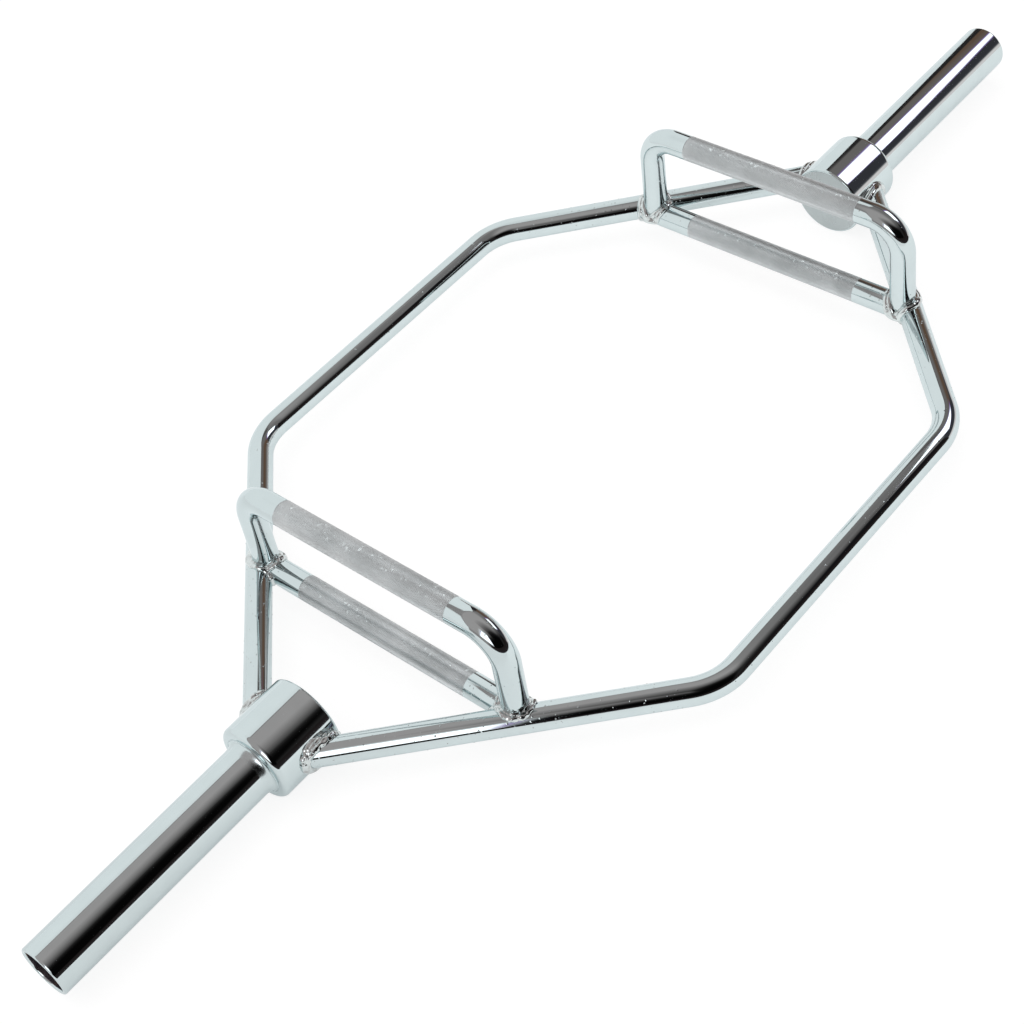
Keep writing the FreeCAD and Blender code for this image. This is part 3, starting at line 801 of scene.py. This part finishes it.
def low_handle_lines(hand, end):
    """The line round the low handle's end, laid thinner over the top."""
    line = []
    for turn in TURNS:
        x = HANDLE_X + BAR_RADIUS * math.cos(turn)
        y = RUN_REACH - x - BAR_RADIUS * math.sqrt(2.0) * abs(math.cos(turn))
        place = (SIDES[hand] * x, ENDS[end] * y, AXIS_HEIGHT + BAR_RADIUS * math.sin(turn))
        line.append((place, 1.0 - LOW_TOP_CUT * max(math.sin(turn), 0.0)))
    return [line]


def bar_top(gap):
    """The height of a bar's upper side at a distance from the bar's middle line."""
    return AXIS_HEIGHT + math.sqrt(max(BAR_RADIUS ** 2 - gap ** 2, 0.0))


def raised_handle_lines(hand, end):
    """The line round the foot, and a wider second pass wherever a bar carries it."""
    lines = []
    for spread, thin, thick in RAISED_PASSES:
        line = []
        for turn in TURNS:
            x = HANDLE_X + (BAR_RADIUS + spread) * math.cos(turn)
            y = RAISED_FOOT[hand + "_" + end] + (BAR_RADIUS + spread) * math.sin(turn)
            z = max(bar_top(x - HANDLE_X), bar_top((x + y - RUN_REACH) / math.sqrt(2.0)))
            carried = min(max((z - AXIS_HEIGHT - CARRY_START) / CARRY_RISE, CARRY_LEAST), 1.0)
            weight = carried * (thin + (thick - thin) * abs(math.sin(turn - 0.25 * math.pi)))
            line.append(((SIDES[hand] * x, ENDS[end] * y, z), weight))
        lines.append(line)
    return lines


BEADS = (("collar", collar_lines, COLLAR_BEAD, COLLAR_FULLNESS, 0.0),
         ("low_handle", low_handle_lines, LOW_BEAD, LOW_FULLNESS, 2.7),
         ("raised_handle", raised_handle_lines, RAISED_BEAD, RAISED_FULLNESS, 5.9))

for hand, side in SIDES.items():
    for end, way in ENDS.items():
        corner = hand + "_" + end
        seed = 10.0 * (2 + side) + way
        for label, lines, radius, fullness, seed_step in BEADS:
            bead = weld_bead(corner + "_" + label + "_bead", lines(hand, end), radius * fullness[corner],
                             BEAD_ROUGHNESS[corner], seed + seed_step)
            settle(bead, "plated_weld", corner + "_" + label + "_weld")


# Floor, studio and camera.
def start_stage(name, shell, paint_name):
    """A stage piece and its empty material."""
    mesh = bpy.data.meshes.new(name)
    shell.to_mesh(mesh)
    shell.free()
    thing = bpy.data.objects.new(name, mesh)
    bpy.context.scene.collection.objects.link(thing)
    paint = bpy.data.materials.new(paint_name)
    paint.use_nodes = True
    paint.cycles.emission_sampling = "NONE"
    paint.node_tree.nodes.clear()
    mesh.materials.append(paint)
    return thing, paint.node_tree


def seen_straight(tree):
    """The kinds of ray, and a value that is one where a ray comes straight from the camera."""
    path = add_node(tree, "ShaderNodeLightPath")
    return path, reckon(tree, "MAXIMUM", path.outputs["Is Camera Ray"], path.outputs["Is Transmission Ray"])


def shader_place(tree, kind):
    return split_place(tree, add_node(tree, "ShaderNodeTexCoord").outputs[kind])


def grey(level):
    """The studio's grey, a little warm."""
    return (1.13 * level, level, 0.985 * level)


# Floor and studio colours. Tones run from low to high, and on the roof from front to rear.
FLOOR_AROUND = (0.60, 0.60, 0.60, 1.0)
FLOOR_STRAIGHT = (0.18, 0.18, 0.18, 1.0)
FLOOR_GLOW = 0.86
WHITE = (1.0, 1.0, 1.0)
PANEL_FRINGE = (0.26, 0.13, 0.42, 1.0)
PANEL_WHITE = (2.3, 2.3, 2.3, 1.0)
PANEL_SOFT_END = (1.1, 1.1, 1.1, 1.0)
ROOF_BRIM = (*grey(0.28), 1.0)
SIDE_STRIP = (0.025, 0.022, 0.022, 1.0)
ROOF_NEAR_TONES = ((0.20, grey(0.002)), (0.36, grey(0.007)), (0.467, grey(0.022)),
                   (0.60, grey(0.125)), (0.733, grey(0.25)), (0.90, grey(0.40)))
ROOF_FAR_TONES = ((0.0, grey(0.02)), (0.20, grey(0.06)), (0.40, grey(0.13)),
                  (0.567, grey(0.20)), (0.733, grey(0.19)), (1.0, grey(0.22)))
SIDE_TONES = ((0.04, grey(0.62)), (0.11, grey(0.32)), (0.20, (0.21, 0.18, 0.165)),
              (0.30, (0.145, 0.082, 0.055)), (0.44, (0.15, 0.092, 0.065)), (0.55, (0.19, 0.16, 0.15)),
              (0.76, grey(0.18)), (0.85, grey(0.11)), (0.92, grey(0.085)))
SIDE_DARK_TONES = ((0.30, grey(0.80)), (0.50, (0.07, 0.07, 0.08)), (0.70, (0.045, 0.043, 0.05)))
FRONT_TONES = ((0.0, (0.032, 0.025, 0.027)), (0.30, (0.014, 0.010, 0.009)), (0.50, (0.008, 0.008, 0.010)),
               (0.64, grey(0.018)), (0.74, grey(0.06)), (0.84, grey(0.17)), (0.92, grey(0.31)),
               (0.98, grey(0.42)))
RIGHT_TONES = ((0.0, grey(0.16)), (0.60, grey(0.12)), (0.80, grey(0.17)), (0.95, grey(0.42)))
LEFT_TONES = ((0.0, grey(0.31)), (0.55, grey(0.26)), (0.94, grey(0.42)))
BACKDROP_TONES = ((0.0, WHITE), (0.75, WHITE), (0.90, (0.92, 0.92, 0.92)), (1.0, (0.85, 0.85, 0.85)))

# The cards: their places, the depth that the roof's tones span, and the edges of their lit panels.
ROOF_HEIGHT = 0.95
ROOF_CORNERS = ((-3.2, -3.2), (0.8, -3.2), (0.8, 0.24), (-3.2, 0.84))
ROOF_FRONT = -1.4
ROOF_DEPTH = 1.5
ROOF_PANEL = {"left": -2.7, "right": -1.05, "slant": 0.113, "rear": -0.38, "edge": 0.05}
SIDE_X = 2.2
SIDE_TOP = 3.2
SIDE_CORNERS = ((-2.4, 0.0), (1.45, 0.0), (1.45, SIDE_TOP), (-2.4, SIDE_TOP))
SIDE_PANEL = {"front": -1.0, "rear": -0.10, "low": 1.36, "high": 2.90, "edge": 0.09}


def white_floor():
    shell = bmesh.new()
    bmesh.ops.create_grid(shell, x_segments=12, y_segments=12, size=9.0)
    _, tree = start_stage("studio_floor", shell, "floor_white")
    path, straight = seen_straight(tree)
    colour = blended(tree, straight, FLOOR_AROUND, FLOOR_STRAIGHT)
    matt = add_node(tree, "ShaderNodeBsdfDiffuse", {"Color": colour})
    x = shader_place(tree, "Object")[0]
    # To the metal the floor glows dimmer towards negative x: a painted shade on the floor's glow.
    glow_painted_dimmer_left = ramped(tree, x, low=-0.60, high=-0.20, out_low=0.36, out_high=0.48)
    mirrored = reckon(tree, "MULTIPLY", path.outputs["Is Glossy Ray"], glow_painted_dimmer_left)
    shown = reckon(tree, "MULTIPLY", straight, FLOOR_GLOW)
    glow = add_node(tree, "ShaderNodeEmission", {"Strength": reckon(tree, "MAXIMUM", mirrored, shown)})
    both = add_node(tree, "ShaderNodeAddShader", {0: matt.outputs[0], 1: glow.outputs[0]})
    add_node(tree, "ShaderNodeOutputMaterial", {"Surface": both.outputs[0]})


def lit_panel(tree, colour, width, *edges):
    """A white panel with a narrow purple fringe on a studio colour; each edge is the distance inside it."""
    inside = edges[0]
    for edge in edges[1:]:
        inside = reckon(tree, "MINIMUM", inside, edge)
    colour = blended(tree, ramped(tree, inside, -width, 0.0), colour, PANEL_FRINGE)
    return blended(tree, ramped(tree, inside, -0.3 * width, width), colour, PANEL_WHITE)


def studio_card(name, corners):
    """A card that only the metal shows."""
    shell = bmesh.new()
    shell.faces.new([shell.verts.new(corner) for corner in corners])
    card, tree = start_stage(name, shell, name)
    card.visible_camera = False
    card.visible_diffuse = False
    card.visible_transmission = False
    card.visible_shadow = False
    glow = add_node(tree, "ShaderNodeEmission")
    add_node(tree, "ShaderNodeOutputMaterial", {"Surface": glow.outputs[0]})
    return tree, shader_place(tree, "Object"), glow.inputs["Color"]


def studio_roof():
    """Dark to the front and paler to the rear, with a lit panel to the left that ends softly."""
    corners = [(x, y, ROOF_HEIGHT) for x, y in ROOF_CORNERS]
    tree, (x, y, _), shown = studio_card("studio_roof", corners)
    level = reckon(tree, "SUBTRACT", y, ROOF_FRONT)
    shift = reckon(tree, "MAXIMUM", ramped(tree, x, low=-0.38, high=0.30, out_high=0.46),
                   ramped(tree, x, low=-0.56, high=-0.72, out_high=0.28))
    shifted = reckon(tree, "ADD", level, shift)
    near = toned(tree, reckon(tree, "DIVIDE", shifted, ROOF_DEPTH), ROOF_NEAR_TONES)
    far = toned(tree, reckon(tree, "DIVIDE", level, ROOF_DEPTH), ROOF_FAR_TONES)
    colour = blended(tree, ramped(tree, x, low=0.12, high=0.50), near, far)
    brim = reckon(tree, "SUBTRACT", 0.36, reckon(tree, "ADD", y, reckon(tree, "MULTIPLY", x, 0.15)))
    colour = blended(tree, ramped(tree, brim, low=0.07, high=0.03), colour, ROOF_BRIM)
    slant = reckon(tree, "SUBTRACT", y, reckon(tree, "MULTIPLY", x, 0.83))
    within = reckon(tree, "MULTIPLY", ramped(tree, slant, low=0.02, high=0.15),
                    ramped(tree, y, low=-0.22, high=-0.42))
    soft_end = reckon(tree, "MULTIPLY", ramped(tree, x, low=-0.82, high=-1.06), within)
    colour = blended(tree, soft_end, colour, PANEL_SOFT_END)
    left = reckon(tree, "SUBTRACT", x, ROOF_PANEL["left"])
    right = reckon(tree, "MULTIPLY", reckon(tree, "SUBTRACT", ROOF_PANEL["right"], x), 2.5)
    front = reckon(tree, "SUBTRACT", slant, ROOF_PANEL["slant"])
    rear = reckon(tree, "SUBTRACT", ROOF_PANEL["rear"], y)
    feed(tree, shown, lit_panel(tree, colour, ROOF_PANEL["edge"], left, right, front, rear))


def studio_side():
    """A brown and grey wall, dark to the front and in a strip to the rear, with a leaning lit panel."""
    corners = [(SIDE_X, y, z) for y, z in SIDE_CORNERS]
    tree, (_, y, z), shown = studio_card("studio_side", corners)
    wall = toned(tree, reckon(tree, "DIVIDE", z, SIDE_TOP), SIDE_TONES)
    low = ramped(tree, z, low=1.7, high=2.1, out_low=1.0, out_high=0.0)
    strip = reckon(tree, "MULTIPLY", ramped(tree, y, low=0.92, high=1.10), low)
    strip = reckon(tree, "MULTIPLY", strip, ramped(tree, z, low=0.35, high=0.7))
    wall = blended(tree, strip, wall, SIDE_STRIP)
    dark = toned(tree, z, SIDE_DARK_TONES)
    to_front = reckon(tree, "MULTIPLY", ramped(tree, y, low=-0.05, high=-0.25), low)
    colour = blended(tree, to_front, wall, dark)
    front = reckon(tree, "SUBTRACT", y, SIDE_PANEL["front"])
    front = reckon(tree, "ADD", front, reckon(tree, "MULTIPLY", z, 0.3))
    rear = reckon(tree, "MULTIPLY", reckon(tree, "SUBTRACT", SIDE_PANEL["rear"], y), 0.45)
    above = reckon(tree, "SUBTRACT", z, SIDE_PANEL["low"])
    below = reckon(tree, "SUBTRACT", SIDE_PANEL["high"], z)
    feed(tree, shown, lit_panel(tree, colour, SIDE_PANEL["edge"], front, rear, above, below))


def studio_world():
    """White to the camera; to the metal a dark room in front and a white backdrop behind."""
    world = bpy.data.worlds.new("studio")
    world.use_nodes = True
    bpy.context.scene.world = world
    tree = world.node_tree
    tree.nodes.clear()
    x, y, z = shader_place(tree, "Generated")
    squares = reckon(tree, "ADD", reckon(tree, "MULTIPLY", x, x), reckon(tree, "MULTIPLY", y, y))
    across = reckon(tree, "DIVIDE", x, reckon(tree, "ADD", reckon(tree, "SQRT", squares), 0.0001))

    room = blended(tree, ramped(tree, across, low=0.66, high=0.88),
                   toned(tree, z, FRONT_TONES), toned(tree, z, RIGHT_TONES))
    room = blended(tree, ramped(tree, across, low=-0.88, high=-0.96), room, toned(tree, z, LEFT_TONES))

    def past(share):
        return reckon(tree, "SUBTRACT", y, reckon(tree, "MULTIPLY", x, share))

    gap = reckon(tree, "MINIMUM", past(0.50), past(-0.325))
    room = blended(tree, ramped(tree, gap, low=-0.012, high=0.012), room, toned(tree, z, BACKDROP_TONES))
    room = blended(tree, ramped(tree, z, low=0.03, high=0.012), room, (*WHITE, 1.0))

    studio = add_node(tree, "ShaderNodeBackground", {"Color": room})
    white = add_node(tree, "ShaderNodeBackground", {"Color": (*WHITE, 1.0)})
    _, straight = seen_straight(tree)
    shown = add_node(tree, "ShaderNodeMixShader", {0: straight, 1: studio.outputs[0], 2: white.outputs[0]})
    add_node(tree, "ShaderNodeOutputWorld", {"Surface": shown.outputs[0]})


def floor_lamp():
    data = bpy.data.lights.new("soft_overhead", "SUN")
    data.energy = 1.6
    data.angle = 1.3
    lamp = bpy.data.objects.new("soft_overhead", data)
    lamp.rotation_euler = (math.radians(14.0), math.radians(-10.0), 0.0)
    lamp.visible_glossy = False
    bpy.context.scene.collection.objects.link(lamp)


# The camera as fitted to the photograph; the roll is in degrees about its line of sight.
CAMERA_STAND = Vector((-0.90265, -0.93546, 1.31706))
CAMERA_AIM = Vector((-0.11972, -0.00048, 0.038))
CAMERA_ROLL = -13.312


def photo_camera():
    data = bpy.data.cameras.new("camera")
    data.lens = 67.779
    data.sensor_width = 36.0
    camera = bpy.data.objects.new("camera", data)
    camera.location = CAMERA_STAND
    camera.rotation_mode = "QUATERNION"
    level = (CAMERA_AIM - CAMERA_STAND).to_track_quat("-Z", "Y")
    camera.rotation_quaternion = level @ Quaternion((0.0, 0.0, 1.0), math.radians(CAMERA_ROLL))
    bpy.context.scene.collection.objects.link(camera)
    bpy.context.scene.camera = camera


white_floor()
studio_roof()
studio_side()
studio_world()
floor_lamp()
photo_camera()
bpy.context.scene.view_settings.view_transform = "Standard"
